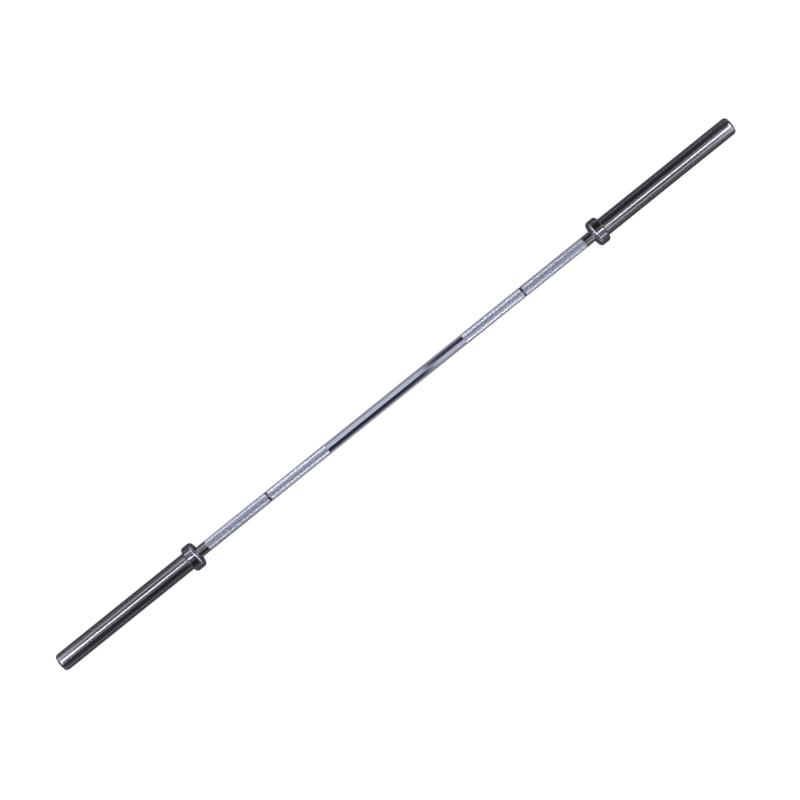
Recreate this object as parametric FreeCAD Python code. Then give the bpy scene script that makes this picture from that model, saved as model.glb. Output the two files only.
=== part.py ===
import FreeCAD, Part
import math
import os

# An olympic barbell: a knurled shaft whose two ends are turned down to journals,
# and on each journal a sleeve that spins in two flanged bronze bushings.
# X runs along the bar, Z is up, and the origin is the middle of the shaft.
# All lengths are in millimetres.

# Overall sizes
OVERALL_LENGTH = 2200.0
COLLAR_SPAN = 1296.0
SHAFT_DIAMETER = 30.0
SLEEVE_DIAMETER = 50.0
COLLAR_WIDTH = 32.0
COLLAR_HEIGHT = 11.5

# Grip: the plain centre, the knurled stretches, the ring marks and the bare ends
PLAIN_CENTRE_LENGTH = 446.0
BARE_END_LENGTH = 29.0
KNURL_RISE = 0.2
KNURL_RUN_OUT = 0.8
RING_MARK_SPAN = 835.0
RING_MARK_WIDTH = 5.0
RING_MARK_DEPTH = 0.5
RING_MARK_SLOPE = 0.7

# Journal of the shaft inside each sleeve
SHOULDER_HEIGHT = 2.0
SHOULDER_SETBACK = 2.5
SHOULDER_CHAMFER = 0.5
RELIEF_WIDTH = 1.6
RELIEF_DEPTH = 0.3
JOURNAL_CHAMFER = 1.0
JOURNAL_STUB = 3.0
SHAFT_END_GAP = 3.0
CENTRE_HOLE_DIAMETER = 6.3
CENTRE_HOLE_DEPTH = 5.4

# Sleeve tube
SLEEVE_WALL = 7.0
SLEEVE_EDGE_CHAMFER = 0.6
MOUTH_CHAMFER = 0.8
NOSE_LENGTH = 9.0
NOSE_LAND = 0.6
LIP_LENGTH = 2.2

# Collar, shrunk on a seat turned into the sleeve
COLLAR_SEAT_STEP = 0.5
COLLAR_INNER_ROUND = 9.0
COLLAR_BEVEL_LENGTH = 4.0
COLLAR_BEVEL_HEIGHT = 4.0
COLLAR_BORE_CHAMFER = 0.6
STOP_FACE_RELIEF = 0.2

# Flanged bushings
BUSHING_LENGTH = 40.0
BUSHING_CHAMFER = 0.8
FLANGE_HEIGHT = 1.5
FLANGE_THICKNESS = 3.0
GREASE_GROOVE_WIDTH = 4.0
GREASE_GROOVE_DEPTH = 0.8
GREASE_SLOT_RADIUS = 1.2
GREASE_SLOT_COUNT = 2

# Thrust washers
WASHER_THICKNESS = 2.0
WASHER_CHAMFER = 0.3

# Retaining rings: an external one on the shaft, an internal one in the sleeve
SHAFT_RING_THICKNESS = 1.5
SHAFT_GROOVE_DEPTH = 0.55
CAP_RING_THICKNESS = 1.75
CAP_GROOVE_DEPTH = 1.25

# Outline of a retaining ring, as shares of the room between its groove and its neighbour
RING_BACK_SHARE = 0.50
RING_TIP_SHARE = 0.30
RING_REACH_SHARE = 0.75
RING_EAR_SHARE = 0.36
RING_HOLE_SHARE = 0.16
RING_GAP_SHARE = 0.80

# End cap
CAP_THICKNESS = 5.0
CAP_LEDGE = 1.0
CAP_CHAMFER = 0.4
CAP_DISH_DIAMETER = 26.0
CAP_DISH_DEPTH = 1.5
CAP_DISH_SLOPE = 1.0

# Dust seal
SEAL_INSET = 1.5
SEAL_WIDTH = 5.0

# Section of the dust seal, as shares of its width and of its depth
SEAL_BAND_SHARE = 0.40
SEAL_WEB_SHARE = 0.45
SEAL_ROOT_SHARE = 0.35
SEAL_TIP_SHARE = 0.60
SEAL_BACK_SHARE = 0.75
SEAL_EDGE_SHARE = 0.12

# Fits and clearances
RUNNING_CLEARANCE = 0.05
END_FLOAT = 0.3
SEAT_CLEARANCE = 0.02
FLANGE_CLEARANCE = 0.1
WASHER_BORE_CLEARANCE = 0.2
WASHER_RIM_CLEARANCE = 0.5
RING_SIDE_CLEARANCE = 0.15
CAP_CLEARANCE = 0.1
SEAL_LIP_CLEARANCE = 0.1
CUT_OVERRUN = 1.0

FULL_TURN = 360.0
HALF_TURN = 180.0
ORIGIN = FreeCAD.Vector(0, 0, 0)
ALONG = FreeCAD.Vector(1, 0, 0)
UP = FreeCAD.Vector(0, 0, 1)

# Radii, from the axis outwards
shaft_radius = SHAFT_DIAMETER / 2
knurl_radius = shaft_radius + KNURL_RISE
ring_mark_radius = shaft_radius - RING_MARK_DEPTH
journal_radius = shaft_radius - SHOULDER_HEIGHT
shaft_groove_radius = journal_radius - SHAFT_GROOVE_DEPTH
sleeve_radius = SLEEVE_DIAMETER / 2
sleeve_bore_radius = sleeve_radius - SLEEVE_WALL
flange_radius = sleeve_bore_radius + FLANGE_HEIGHT
mouth_radius = flange_radius + FLANGE_CLEARANCE
cap_seat_radius = mouth_radius + CAP_LEDGE
cap_groove_radius = cap_seat_radius + CAP_GROOVE_DEPTH
collar_radius = sleeve_radius + COLLAR_HEIGHT
collar_seat_radius = sleeve_radius - COLLAR_SEAT_STEP

# Stations along the grip, from the middle of the bar
knurl_start = PLAIN_CENTRE_LENGTH / 2
knurl_end = COLLAR_SPAN / 2 - BARE_END_LENGTH
ring_mark_start = (RING_MARK_SPAN - RING_MARK_WIDTH) / 2
ring_mark_end = (RING_MARK_SPAN + RING_MARK_WIDTH) / 2

# Stations at the collar end of the sleeve, outwards from the collar's inner face
sleeve_start = COLLAR_SPAN / 2
collar_end = sleeve_start + COLLAR_WIDTH
seal_start = sleeve_start + SEAL_INSET
seal_end = seal_start + SEAL_WIDTH
shoulder = seal_end + SHOULDER_SETBACK
inner_washer_end = shoulder + WASHER_THICKNESS
inner_flange_face = inner_washer_end + END_FLOAT
inner_floor = inner_flange_face + FLANGE_THICKNESS

# Stations at the outer end of the sleeve, inwards from its end face
sleeve_end = OVERALL_LENGTH / 2
nose_start = sleeve_end - NOSE_LENGTH
cap_groove_end = sleeve_end - LIP_LENGTH
cap_face = cap_groove_end - CAP_RING_THICKNESS - RING_SIDE_CLEARANCE
cap_ledge = cap_face - CAP_THICKNESS
shaft_end = cap_ledge - SHAFT_END_GAP
shaft_groove_end = shaft_end - JOURNAL_STUB
shaft_ring_face = shaft_groove_end - SHAFT_RING_THICKNESS
shaft_groove_start = shaft_ring_face - RING_SIDE_CLEARANCE
outer_washer_start = shaft_ring_face - WASHER_THICKNESS
outer_flange_face = outer_washer_start - END_FLOAT
outer_floor = outer_flange_face - FLANGE_THICKNESS


def station(x, radius):
    """The point of a section at a distance along the bar and from its axis."""
    return FreeCAD.Vector(x, 0, radius)


def turned(corners):
    """Revolve a closed section about the bar. A corner is (x, radius), and a corner
    with a third member reaches it by an arc through that member."""
    edges = []
    previous = station(*corners[-1][:2])
    for corner in corners:
        here = station(*corner[:2])
        if len(corner) > 2:
            edges.append(Part.Arc(previous, station(*corner[2]), here).toShape())
        else:
            edges.append(Part.LineSegment(previous, here).toShape())
        previous = here
    return Part.Face(Part.Wire(edges)).revolve(ORIGIN, ALONG, FULL_TURN)


def disc(x, thickness, radius, centre_y, centre_z):
    """A round plate across the bar."""
    base = FreeCAD.Vector(x, centre_y, centre_z)
    return Part.makeCylinder(radius, thickness, base, ALONG)


def shaft():
    """Grip, shoulders and journals in one turning, with a centre hole in each end."""
    half = [
        (knurl_start, shaft_radius),
        (knurl_start + KNURL_RUN_OUT, knurl_radius),
        (ring_mark_start, knurl_radius),
        (ring_mark_start + RING_MARK_SLOPE, ring_mark_radius),
        (ring_mark_end - RING_MARK_SLOPE, ring_mark_radius),
        (ring_mark_end, knurl_radius),
        (knurl_end - KNURL_RUN_OUT, knurl_radius),
        (knurl_end, shaft_radius),
        (shoulder - SHOULDER_CHAMFER, shaft_radius),
        (shoulder, shaft_radius - SHOULDER_CHAMFER),
        (shoulder, journal_radius - RELIEF_DEPTH),
        (shoulder + RELIEF_WIDTH - RELIEF_DEPTH, journal_radius - RELIEF_DEPTH),
        (shoulder + RELIEF_WIDTH, journal_radius),
        (shaft_groove_start, journal_radius),
        (shaft_groove_start, shaft_groove_radius),
        (shaft_groove_end, shaft_groove_radius),
        (shaft_groove_end, journal_radius),
        (shaft_end - JOURNAL_CHAMFER, journal_radius),
        (shaft_end, journal_radius - JOURNAL_CHAMFER),
        (shaft_end, CENTRE_HOLE_DIAMETER / 2),
        (shaft_end - CENTRE_HOLE_DEPTH, 0),
    ]
    mirrored = [(-x, radius) for x, radius in reversed(half)]
    return turned(mirrored + half)


def sleeve():
    """Tube with the collar's seat, a rounded nose, two bushing seats and the cap's recess."""
    nose_radius = cap_seat_radius + MOUTH_CHAMFER + NOSE_LAND
    nose_drop = sleeve_radius - nose_radius
    nose_bend = (NOSE_LENGTH ** 2 + nose_drop ** 2) / (2 * nose_drop)
    half_sweep = math.asin(NOSE_LENGTH / nose_bend) / 2
    nose_middle = (
        nose_start + nose_bend * math.sin(half_sweep),
        sleeve_radius - nose_bend * (1 - math.cos(half_sweep)),
    )
    return turned([
        (sleeve_start, collar_seat_radius - SLEEVE_EDGE_CHAMFER),
        (sleeve_start + SLEEVE_EDGE_CHAMFER, collar_seat_radius),
        (collar_end, collar_seat_radius),
        (collar_end, sleeve_radius),
        (nose_start, sleeve_radius),
        (sleeve_end, nose_radius, nose_middle),
        (sleeve_end, cap_seat_radius + MOUTH_CHAMFER),
        (sleeve_end - MOUTH_CHAMFER, cap_seat_radius),
        (cap_groove_end, cap_seat_radius),
        (cap_groove_end, cap_groove_radius),
        (cap_face, cap_groove_radius),
        (cap_face, cap_seat_radius),
        (cap_ledge, cap_seat_radius),
        (cap_ledge, mouth_radius),
        (outer_floor, mouth_radius),
        (outer_floor, sleeve_bore_radius),
        (inner_floor, sleeve_bore_radius),
        (inner_floor, mouth_radius),
        (sleeve_start + MOUTH_CHAMFER, mouth_radius),
        (sleeve_start, mouth_radius + MOUTH_CHAMFER),
    ])


def collar():
    """Plate stop: rounded towards the grip, bevelled towards the plates."""
    bore = collar_seat_radius + SEAT_CLEARANCE
    stop_face_bore = sleeve_radius + STOP_FACE_RELIEF
    round_inset = COLLAR_INNER_ROUND * (1 - math.sqrt(0.5))
    round_middle = (sleeve_start + round_inset, collar_radius - round_inset)
    return turned([
        (sleeve_start, bore + COLLAR_BORE_CHAMFER),
        (sleeve_start, collar_radius - COLLAR_INNER_ROUND),
        (sleeve_start + COLLAR_INNER_ROUND, collar_radius, round_middle),
        (collar_end - COLLAR_BEVEL_LENGTH, collar_radius),
        (collar_end, collar_radius - COLLAR_BEVEL_HEIGHT),
        (collar_end, stop_face_bore),
        (collar_end - (stop_face_bore - bore), bore),
        (sleeve_start + COLLAR_BORE_CHAMFER, bore),
    ])


def bushing(flange_face, inwards):
    """Flanged bearing with a grease groove round the middle of its bore and slots along it.
    The body runs from the flange to the inside of the sleeve."""
    floor = flange_face + inwards * FLANGE_THICKNESS
    tip = floor + inwards * BUSHING_LENGTH
    chamfer = inwards * BUSHING_CHAMFER
    body_radius = sleeve_bore_radius - SEAT_CLEARANCE
    bore = journal_radius + RUNNING_CLEARANCE
    middle = (flange_face + tip) / 2
    half_groove = inwards * GREASE_GROOVE_WIDTH / 2
    shape = turned([
        (flange_face, bore + BUSHING_CHAMFER),
        (flange_face, flange_radius),
        (floor, flange_radius),
        (floor, body_radius),
        (tip - chamfer, body_radius),
        (tip, body_radius - BUSHING_CHAMFER),
        (tip, bore + BUSHING_CHAMFER),
        (tip - chamfer, bore),
        (middle + half_groove, bore),
        (middle + half_groove, bore + GREASE_GROOVE_DEPTH),
        (middle - half_groove, bore + GREASE_GROOVE_DEPTH),
        (middle - half_groove, bore),
        (flange_face + chamfer, bore),
    ])
    slot_start = min(flange_face, tip) - CUT_OVERRUN
    slot_length = FLANGE_THICKNESS + BUSHING_LENGTH + 2 * CUT_OVERRUN
    for number in range(GREASE_SLOT_COUNT):
        slot = disc(slot_start, slot_length, GREASE_SLOT_RADIUS, 0, bore)
        slot.rotate(ORIGIN, ALONG, FULL_TURN * number / GREASE_SLOT_COUNT)
        shape = shape.cut(slot)
    return shape


def thrust_washer(start):
    """Flat washer with broken edges, round the journal."""
    end = start + WASHER_THICKNESS
    bore = journal_radius + WASHER_BORE_CLEARANCE
    rim = mouth_radius - WASHER_RIM_CLEARANCE
    return turned([
        (start, bore),
        (start, rim - WASHER_CHAMFER),
        (start + WASHER_CHAMFER, rim),
        (end - WASHER_CHAMFER, rim),
        (end, rim - WASHER_CHAMFER),
        (end, bore),
    ])


def retaining_ring(start, thickness, seat_radius, room, outwards):
    """Open ring that tapers from its back to the two eared tips beside its gap.
    Its seat circle lies in a groove, and its ears reach away from the groove."""
    back = room * RING_BACK_SHARE
    tip = room * RING_TIP_SHARE
    ear = room * RING_EAR_SHARE
    gap = room * RING_GAP_SHARE
    free_radius = seat_radius + outwards * (back + tip) / 2
    free_shift = -outwards * (back - tip) / 2
    ear_distance = seat_radius + outwards * (room * RING_REACH_SHARE - ear)
    ear_y = gap / 2 + ear
    ear_z = math.sqrt(ear_distance ** 2 - ear_y ** 2)
    seat_disc = disc(start, thickness, seat_radius, 0, 0)
    free_disc = disc(start, thickness, free_radius, 0, free_shift)
    shape = free_disc if outwards > 0 else seat_disc.cut(free_disc)
    for side in (-1, 1):
        shape = shape.fuse(disc(start, thickness, ear, side * ear_y, ear_z))
    if outwards > 0:
        shape = shape.cut(seat_disc)
    gap_corner = FreeCAD.Vector(start - CUT_OVERRUN, -gap / 2, 0)
    gap_depth = thickness + 2 * CUT_OVERRUN
    shape = shape.cut(Part.makeBox(gap_depth, gap, seat_radius + room, gap_corner))
    for side in (-1, 1):
        hole_start = start - CUT_OVERRUN
        shape = shape.cut(disc(hole_start, gap_depth, room * RING_HOLE_SHARE, side * ear_y, ear_z))
    return shape.removeSplitter()


def shaft_ring():
    """External ring in the shaft's groove, which keeps the sleeve on the journal."""
    seat = shaft_groove_radius + SEAT_CLEARANCE
    return retaining_ring(shaft_ring_face, SHAFT_RING_THICKNESS, seat, mouth_radius - seat, 1)


def end_cap_ring():
    """Internal ring in the sleeve's groove, which keeps the end cap in its recess."""
    seat = cap_groove_radius - SEAT_CLEARANCE
    return retaining_ring(cap_face, CAP_RING_THICKNESS, seat, seat - CAP_DISH_DIAMETER / 2, -1)


def end_cap():
    """Disc with a shallow dish, seated on the ledge of the recess."""
    rim = cap_seat_radius - CAP_CLEARANCE
    dish = CAP_DISH_DIAMETER / 2
    return turned([
        (cap_ledge, 0),
        (cap_ledge, rim - CAP_CHAMFER),
        (cap_ledge + CAP_CHAMFER, rim),
        (cap_face - CAP_CHAMFER, rim),
        (cap_face, rim - CAP_CHAMFER),
        (cap_face, dish),
        (cap_face - CAP_DISH_DEPTH, dish - CAP_DISH_SLOPE),
        (cap_face - CAP_DISH_DEPTH, 0),
    ])


def dust_seal():
    """Ring pressed into the sleeve's mouth, with a lip that leans on the shaft."""
    outside = mouth_radius - SEAT_CLEARANCE
    lip = shaft_radius + SEAL_LIP_CLEARANCE
    depth = outside - lip
    band = outside - depth * SEAL_BAND_SHARE
    return turned([
        (seal_start, lip + depth * SEAL_ROOT_SHARE),
        (seal_start, outside),
        (seal_end, outside),
        (seal_end, band),
        (seal_start + SEAL_WIDTH * SEAL_WEB_SHARE, band),
        (seal_start + SEAL_WIDTH * SEAL_BACK_SHARE, lip + depth * SEAL_EDGE_SHARE),
        (seal_start + SEAL_WIDTH * SEAL_TIP_SHARE, lip),
    ])


def right_end():
    """The ten pieces at the right end of the bar."""
    return {
        "sleeve": sleeve(),
        "collar": collar(),
        "inner_bushing": bushing(inner_flange_face, 1),
        "outer_bushing": bushing(outer_flange_face, -1),
        "inner_thrust_washer": thrust_washer(shoulder),
        "outer_thrust_washer": thrust_washer(outer_washer_start),
        "shaft_ring": shaft_ring(),
        "end_cap": end_cap(),
        "end_cap_ring": end_cap_ring(),
        "dust_seal": dust_seal(),
    }


def build():
    """Every piece of the bar by its name."""
    pieces = {"shaft": shaft()}
    for name, shape in right_end().items():
        pieces["right_" + name] = shape
        turned_round = shape.copy()
        turned_round.rotate(ORIGIN, UP, HALF_TURN)
        pieces["left_" + name] = turned_round
    return pieces


os.makedirs("parts", exist_ok=True)
for node, solid in build().items():
    solid.exportStep("parts/" + node + ".step")
    print(node, len(solid.Solids), solid.isValid(), round(solid.Volume / 1000, 3), "cm3")
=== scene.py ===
# %% [markdown]
# A straight barbell for 50 mm plates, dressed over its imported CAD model.
# The real bar is a knurled steel shaft with a sleeve spinning on each end, all of it chrome plated.
# The CAD model is the fixed frame: it says where every piece is and what moves with what.
# This lesson turns smooth lathe pieces over the coarse CAD ones, cuts the knurling with
# Geometry Nodes, and gives every piece a finish of its own.

# %% Load the frame
import math

import bmesh
import bpy
from mathutils import Matrix, Vector


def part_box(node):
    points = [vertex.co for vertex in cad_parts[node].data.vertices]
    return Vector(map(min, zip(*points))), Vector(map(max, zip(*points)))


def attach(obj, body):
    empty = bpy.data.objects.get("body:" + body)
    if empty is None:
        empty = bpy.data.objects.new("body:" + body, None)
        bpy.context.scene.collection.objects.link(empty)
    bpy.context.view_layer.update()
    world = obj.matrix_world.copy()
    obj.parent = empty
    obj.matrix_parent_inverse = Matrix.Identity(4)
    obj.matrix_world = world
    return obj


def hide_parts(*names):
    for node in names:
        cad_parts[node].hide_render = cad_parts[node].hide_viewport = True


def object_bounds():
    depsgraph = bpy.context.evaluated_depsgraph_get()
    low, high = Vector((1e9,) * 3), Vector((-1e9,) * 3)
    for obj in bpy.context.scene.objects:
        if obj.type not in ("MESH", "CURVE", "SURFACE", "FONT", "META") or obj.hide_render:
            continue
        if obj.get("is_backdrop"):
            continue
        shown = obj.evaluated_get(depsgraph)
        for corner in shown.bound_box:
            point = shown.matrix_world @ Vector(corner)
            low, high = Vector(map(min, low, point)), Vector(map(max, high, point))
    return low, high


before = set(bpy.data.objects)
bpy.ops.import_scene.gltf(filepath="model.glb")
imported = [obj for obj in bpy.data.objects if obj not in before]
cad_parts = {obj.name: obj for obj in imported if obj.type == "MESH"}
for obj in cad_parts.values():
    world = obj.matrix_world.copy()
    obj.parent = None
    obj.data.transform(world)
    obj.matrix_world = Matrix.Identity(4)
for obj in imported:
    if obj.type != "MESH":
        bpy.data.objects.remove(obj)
cad_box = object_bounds()

# %% [markdown]
# Every station along the bar comes from the CAD nodes, so a piece can't drift away from the frame.
# The values are kept in millimetres, because turned pieces are drawn in millimetres, and they
# become metres only when a mesh is made.

# %% Stations read from the CAD nodes
MM = 0.001


def reach(node):
    """Start, end and outer radius of a turned node of the right end, in millimetres."""
    low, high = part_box(node)
    return low.x / MM, high.x / MM, high.z / MM


sleeve_start, sleeve_end, sleeve_radius = reach("right_sleeve")
collar_start, collar_end, collar_radius = reach("right_collar")
cap_ledge, cap_face, cap_radius = reach("right_end_cap")
seal_start, seal_end, seal_radius = reach("right_dust_seal")
inner_flange_face = reach("right_inner_bushing")[0]
outer_flange_face = reach("right_outer_bushing")[1]
shoulder = reach("right_inner_thrust_washer")[0]
shaft_ring_face, shaft_ring_end = reach("right_shaft_ring")[:2]
cap_ring_end = reach("right_end_cap_ring")[1]
shaft_end, crest_radius = reach("shaft")[1:]
print("sleeve %.1f to %.1f mm, collar to %.1f mm" % (sleeve_start, sleeve_end, collar_end))

# %% [markdown]
# Nodes are easier to read as sums than as wires. Flow wraps one socket and takes part in Python
# expressions, and each operator adds a Math node. Tree makes every other node by one method.
# The same two classes write the materials and the geometry of the knurling.

# %% Node trees written as Python


class Flow:
    """One output socket of a node tree, which can be used in sums."""

    def __init__(self, tree, socket):
        self.tree = tree
        self.socket = socket

    def output(self, name):
        """Another output of the same node."""
        return Flow(self.tree, self.socket.node.outputs[name])

    def math(self, operation, *values):
        """A Math node on this socket and the values after it."""
        sockets = dict(enumerate((self,) + values))
        return self.tree.node("ShaderNodeMath", {"operation": operation}, sockets)

    def __add__(self, other):
        return self.math("ADD", other)

    def __radd__(self, other):
        return self.math("ADD", other)

    def __sub__(self, other):
        return self.math("SUBTRACT", other)

    def __rsub__(self, other):
        return self.tree.node("ShaderNodeMath", {"operation": "SUBTRACT"}, {0: other, 1: self})

    def __mul__(self, other):
        return self.math("MULTIPLY", other)

    def __rmul__(self, other):
        return self.math("MULTIPLY", other)

    def __truediv__(self, other):
        return self.math("DIVIDE", other)

    def __pow__(self, other):
        return self.math("POWER", other)

    def __abs__(self):
        return self.math("ABSOLUTE")

    def ramp(self, low, high):
        """From 0 at low to 1 at high, held at both ends."""
        return self.tree.node(
            "ShaderNodeMapRange", {"interpolation_type": "SMOOTHSTEP"},
            {"Value": self, "From Min": low, "From Max": high},
        )


class Tree:
    """A node tree whose nodes all come from one method."""

    def __init__(self, tree):
        self.tree = tree

    def feed(self, socket, value):
        """Link a Flow to a socket, or set the socket's own value."""
        if isinstance(value, Flow):
            self.tree.links.new(value.socket, socket)
        else:
            socket.default_value = value

    def node(self, kind, settings=None, sockets=None, output=0):
        """A node of one kind, with its settings made first and then its sockets."""
        made = self.tree.nodes.new(kind)
        for name, value in (settings or {}).items():
            setattr(made, name, value)
        for name, value in (sockets or {}).items():
            for each in value if isinstance(value, list) else [value]:
                self.feed(made.inputs[name], each)
        return Flow(self, made.outputs[output]) if made.outputs else made

    def blend(self, share, first, second):
        """A colour between two colours."""
        return self.node("ShaderNodeMix", {"data_type": "RGBA"}, {0: share, 6: first, 7: second}, 2)


# %% [markdown]
# All the metal here was turned on a lathe, so one pattern serves every finish: fine marks that
# run round the bar. On a cylinder they follow X, and on an end face they follow the radius, so
# the pattern reads a sum of both. Object coordinates keep it fixed to the piece when the sleeve spins.
# Sizes of a pattern are in millimetres too.

# %% The metal finish shared by the turned pieces
TURN_FACE_SHARE = 1.3


class Finish(Tree):
    """A material of one principled shader, with the coordinates of a turned piece."""

    def __init__(self, name, **constants):
        self.material = bpy.data.materials.new(name)
        self.material.use_nodes = True
        super().__init__(self.material.node_tree)
        self.shader = self.tree.nodes["Principled BSDF"]
        for socket, value in constants.items():
            self.shader.inputs[socket.replace("_", " ")].default_value = value
        self.place = self.node("ShaderNodeTexCoord", output="Object")
        self.x = self.node("ShaderNodeSeparateXYZ", sockets={0: self.place})
        across = self.x.output("Y") ** 2 + self.x.output("Z") ** 2
        self.radius = across.math("SQRT")
        self.path = self.x + self.radius * TURN_FACE_SHARE

    def marks(self, pitch, detail=2.0):
        """Turning marks: noise that only changes along the path of the tool."""
        return self.node(
            "ShaderNodeTexNoise", {"noise_dimensions": "1D"},
            {"W": self.path, "Scale": 1 / (pitch * MM), "Detail": detail, "Roughness": 0.6},
        )

    def mottle(self, size, stretch=(1, 1, 1), detail=3.0):
        """Cloudy noise, stretched along the bar or round it."""
        spread = self.node("ShaderNodeMapping", sockets={"Vector": self.place, "Scale": stretch})
        return self.node(
            "ShaderNodeTexNoise",
            sockets={"Vector": spread, "Scale": 1 / (size * MM), "Detail": detail},
        )

    def colour(self, share, first, second):
        """The metal's own colour, which changes between two."""
        self.tone = self.blend(share, first + (1,), second + (1,))
        self.feed(self.shader.inputs["Base Color"], self.tone)

    def dirt_and_painted_light(self, mask, colour):
        """Another colour on part of the piece, for dirt and for painted light and shade."""
        self.tone = self.blend(mask, self.tone, colour + (1,))
        self.feed(self.shader.inputs["Base Color"], self.tone)

    def roughness(self, value):
        self.feed(self.shader.inputs["Roughness"], value)

    def relief(self, height, depth, strength):
        """Bump of a real depth."""
        bump = self.node(
            "ShaderNodeBump",
            sockets={"Height": height, "Distance": depth * MM, "Strength": strength},
        )
        self.feed(self.shader.inputs["Normal"], bump)


# %% [markdown]
# The shaft is ground and hard chrome plated, nearly a mirror. A mirror with no flaw looks like
# plastic in a render, so hand marks dull it in clouds and the grinding leaves the faintest lines.
# Old grease and dust settle wherever the steel lies below the plain surface, as in the ring marks,
# and painted shade darkens that steel as well, also on the edges of the ring marks.

# %% Bright chrome of the shaft
GRIME_AND_SHADE = (0.14, 0.14, 0.16)
GRIME_AND_SHADE_SHARE = 0.8
GRIME_AND_SHADE_FULL_RADIUS = 14.80
GRIME_AND_SHADE_GONE_RADIUS = 14.97
bright = Finish("shaft_bright_chrome", Metallic=1.0)
hand_marks = bright.mottle(size=50, stretch=(0.4, 1, 1))
grinding = bright.marks(pitch=0.4)
# Grease and painted shade: darker, rougher chrome below the plain surface, in the ring marks and on
# their edges.
grime_and_shade = 1 - bright.radius.ramp(GRIME_AND_SHADE_FULL_RADIUS * MM, GRIME_AND_SHADE_GONE_RADIUS * MM)
bright.colour(hand_marks, (0.60, 0.61, 0.65), (0.66, 0.67, 0.70))
bright.dirt_and_painted_light(grime_and_shade * GRIME_AND_SHADE_SHARE, GRIME_AND_SHADE)
bright.roughness(0.07 + hand_marks.ramp(0.45, 0.8) * 0.07 + grinding * 0.03 + grime_and_shade * 0.16)
bright.relief(grinding, depth=0.004, strength=0.25)
print("finish:", bright.material.name)

# %% [markdown]
# The knurling is rolled before plating, so it has the same chrome. Chalk and dirt stay in its
# grooves while hands keep the crests bright. The mesh carries an attribute called rise, 0 in a
# groove and 1 on a crest, and the finish follows it. The inner grips get a paler colour, which is
# painted light.

# %% Chrome of the knurling
KNURL_RISE_NAME = "rise"
PAINTED_GRIP_LIGHT = (0.97, 0.97, 1.0)
PAINTED_GRIP_LIGHT_SHARE = 0.35
PAINTED_GRIP_LIGHT_END = 405.0
PAINTED_GRIP_LIGHT_GONE = 430.0
knurl_chrome = Finish("shaft_knurl_chrome", Metallic=1.0)
rise = knurl_chrome.node("ShaderNodeAttribute", {"attribute_name": KNURL_RISE_NAME}, output="Fac")
grip_wear = knurl_chrome.mottle(size=30)
# Painted light: the inner grips are coloured paler than the outer ones.
painted_grip_light = 1 - abs(knurl_chrome.x).ramp(PAINTED_GRIP_LIGHT_END * MM, PAINTED_GRIP_LIGHT_GONE * MM)
knurl_chrome.colour(rise.ramp(0.0, 0.8), (0.62, 0.63, 0.68), (0.82, 0.83, 0.87))
knurl_chrome.dirt_and_painted_light(painted_grip_light * PAINTED_GRIP_LIGHT_SHARE, PAINTED_GRIP_LIGHT)
knurl_chrome.roughness(0.33 - rise * 0.07 + grip_wear.ramp(0.4, 0.8) * 0.06)
print("finish:", knurl_chrome.material.name)

# %% [markdown]
# Each sleeve is turned, not ground: the marks run round it and spread the light along the bar,
# which leaves the long highlights thin and sharp across it. Plates slide on and off, so long
# faint scratches run along it, and the nose and the stop end are rubbed duller.

# %% Satin chrome of the sleeves
NOSE_RUB_LENGTH = 14.0
STOP_RUB_LENGTH = 30.0
STOP_RUB_SHARE = 0.6
satin = Finish("sleeve_satin_chrome", Metallic=1.0)
coarse_marks = satin.marks(pitch=6, detail=4.0)
fine_marks = satin.marks(pitch=0.35)
plate_scratches = satin.mottle(size=2, stretch=(0.012, 1, 1), detail=2.0)
from_middle = abs(satin.x)
nose_rub = from_middle.ramp((sleeve_end - NOSE_RUB_LENGTH) * MM, sleeve_end * MM)
stop_rub = 1 - from_middle.ramp(collar_end * MM, (collar_end + STOP_RUB_LENGTH) * MM)
rubbed = nose_rub + stop_rub * STOP_RUB_SHARE
satin.colour(coarse_marks, (0.52, 0.51, 0.55), (0.59, 0.58, 0.61))
satin.roughness(
    0.13 + coarse_marks * 0.08 + plate_scratches.ramp(0.58, 0.72) * 0.08 + rubbed * 0.08
)
satin.relief(fine_marks + coarse_marks * 0.4, depth=0.012, strength=0.35)
print("finish:", satin.material.name)

# %% [markdown]
# The collars are polished brighter than the sleeves. Plates knock against the outer face, which
# leaves rings rubbed into it, so that face is duller than the rest. On the other side a ring of
# the round is coloured pale, a painted highlight.

# %% Polished chrome of the collars
STOP_FACE_FADE = 1.2
ROUND_PAINTED_HIGHLIGHT = (0.88, 0.88, 0.92)
ROUND_HIGHLIGHT_SHARE = 0.9
ROUND_HIGHLIGHT_FROM = 3.0
ROUND_HIGHLIGHT_FULL = 4.2
ROUND_HIGHLIGHT_FADE = 6.8
ROUND_HIGHLIGHT_GONE = 8.2
polished = Finish("collar_polished_chrome", Metallic=1.0)
polish_marks = polished.marks(pitch=1.1, detail=3.0)
knocks = polished.mottle(size=4)
stop_face = abs(polished.x).ramp((collar_end - STOP_FACE_FADE) * MM, collar_end * MM)
# A painted highlight: a pale ring of colour on the round of the collar.
along = abs(polished.x) - collar_start * MM
highlight_starts = along.ramp(ROUND_HIGHLIGHT_FROM * MM, ROUND_HIGHLIGHT_FULL * MM)
highlight_ends = along.ramp(ROUND_HIGHLIGHT_FADE * MM, ROUND_HIGHLIGHT_GONE * MM)
painted_round_highlight = highlight_starts * (1 - highlight_ends)
polished.colour(polish_marks, (0.50, 0.50, 0.58), (0.58, 0.58, 0.65))
polished.dirt_and_painted_light(painted_round_highlight * ROUND_HIGHLIGHT_SHARE, ROUND_PAINTED_HIGHLIGHT)
polished.roughness(0.08 + polish_marks * 0.05 + stop_face * (0.12 + knocks * 0.14))
polished.relief(polish_marks, depth=0.006, strength=0.3)
print("finish:", polished.material.name)

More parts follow.
